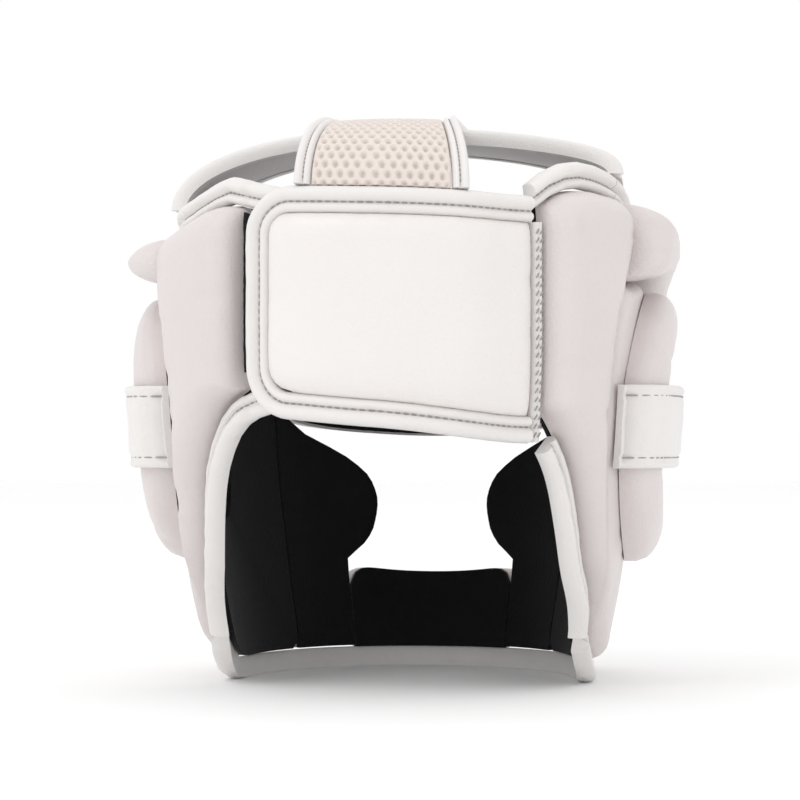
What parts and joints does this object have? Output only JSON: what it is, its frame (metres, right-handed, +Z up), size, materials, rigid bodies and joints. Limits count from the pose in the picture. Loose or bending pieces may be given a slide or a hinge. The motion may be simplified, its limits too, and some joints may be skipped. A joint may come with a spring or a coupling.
{
  "type": "boxing headgear",
  "caption": "Full-face padded boxing headgear with brow, cheek, chin and ear pads, rear hook-and-loop flap and a mesh crown strap.",
  "frame": {"origin": "on the floor under the middle of the object's box", "axes": "+Z up, +Y the way the face looks, +X the wearer's right"},
  "size_m": [0.243, 0.2428, 0.2419],
  "materials": {
    "leather": "smooth artificial leather, satin",
    "binding": "rolled artificial leather edge, satin",
    "lining": "matte brushed cloth",
    "mesh": "matte air mesh",
    "loop": "matte loop pile"
  },
  "bodies": {
    "root": {"brow_pad": "leather", "cheek_pad_left": "leather", "cheek_pad_right": "leather", "chin_bar": "leather", "ear_base_left": "leather", "ear_base_right": "leather", "ear_guard_left": "leather", "ear_guard_right": "leather", "ear_band_left": "leather", "ear_band_right": "leather", "rear_panel_left": "leather", "rear_panel_right": "leather", "closure_flap": "leather", "flap_seam": "leather", "under_flap": "leather", "crown_band": "leather", "brow_binding": "binding", "hem_binding": "binding", "top_binding_left": "binding", "top_binding_right": "binding", "neck_binding_left": "binding", "neck_binding_right": "binding", "flap_binding": "binding", "crown_binding_rear": "binding", "crown_binding_front": "binding", "strap_binding_left": "binding", "strap_binding_right": "binding", "lining_brow": "lining", "lining_cheek_left": "lining", "lining_cheek_right": "lining", "lining_chin": "lining", "lining_ear_left": "lining", "lining_ear_right": "lining", "lining_rear_left": "lining", "lining_rear_right": "lining", "lining_back": "lining", "crown_strap": "mesh", "loop_patch": "loop"}
  },
  "joints": []
}
